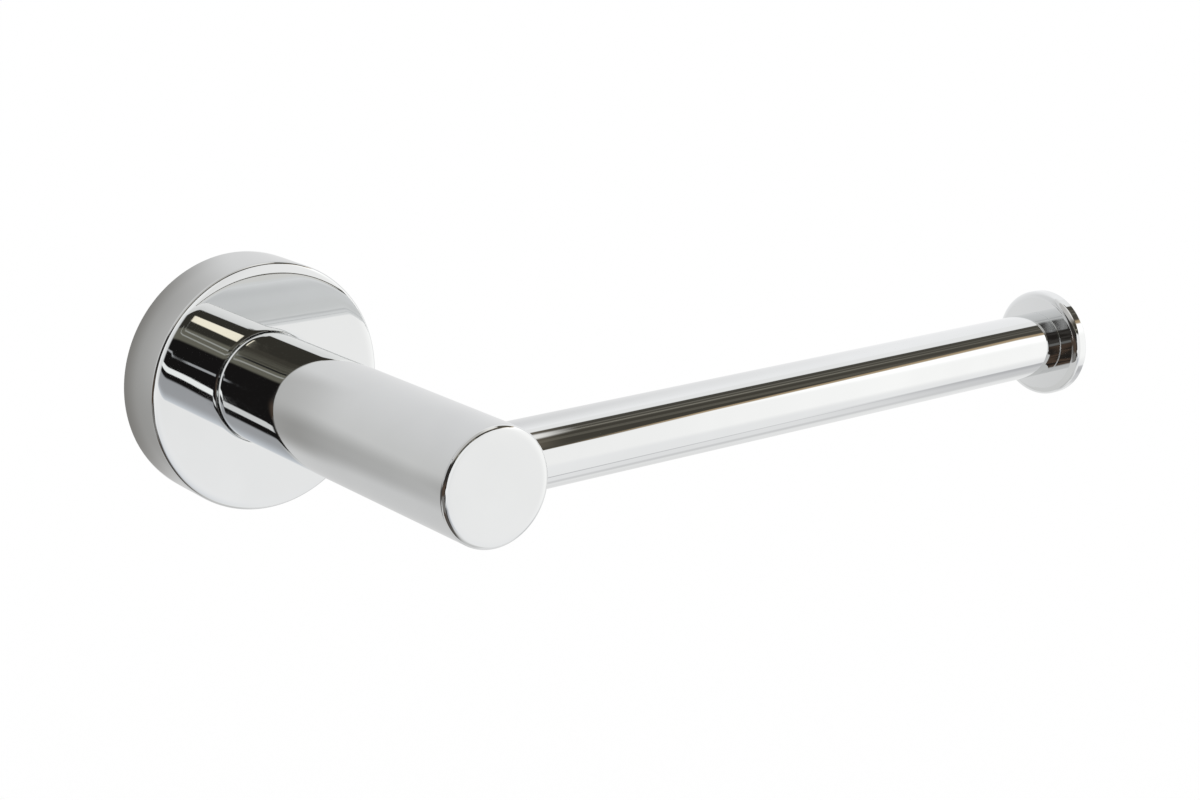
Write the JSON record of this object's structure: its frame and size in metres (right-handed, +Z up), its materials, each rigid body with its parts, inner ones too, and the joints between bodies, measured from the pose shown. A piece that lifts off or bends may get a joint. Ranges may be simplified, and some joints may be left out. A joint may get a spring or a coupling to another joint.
{
  "type": "toilet paper holder",
  "caption": "Wall-mounted toilet paper holder in polished chrome: a round rose over a hidden bracket, a straight post, and a side bar with an end disc that carries the roll.",
  "frame": {"origin": "middle of the bracket's back face, on the wall plane and on the axis of the rose and post", "axes": "+Z up, +X along the bar from the post to the end disc, +Y into the wall"},
  "size_m": [0.1603, 0.081, 0.045],
  "materials": {
    "chrome": "bright chrome plating on polished brass",
    "zinc": "tumbled zinc die casting",
    "steel": "turned stainless steel",
    "brass": "turned brass"
  },
  "bodies": {
    "bracket": {"wall_bracket": "zinc"},
    "holder": {"rose": "chrome", "post": "chrome", "post_dowel": "steel", "post_screw": "steel", "spring_washer": "steel", "flat_washer": "steel", "bar_tube": "chrome", "bar_root_plug": "brass", "bar_stud": "steel", "bar_tip_plug": "brass", "end_disc": "chrome"},
    "screw": {"set_screw": "steel"}
  },
  "joints": [
    {"name": "holder_pull_off", "type": "slide", "parent": "bracket", "child": "holder", "axis": [0, -1, 0], "range_m": [0, 0.03]},
    {"name": "set_screw_travel", "type": "slide", "parent": "holder", "child": "screw", "axis": [0, 0, -1], "range_m": [0, 0.002]}
  ]
}
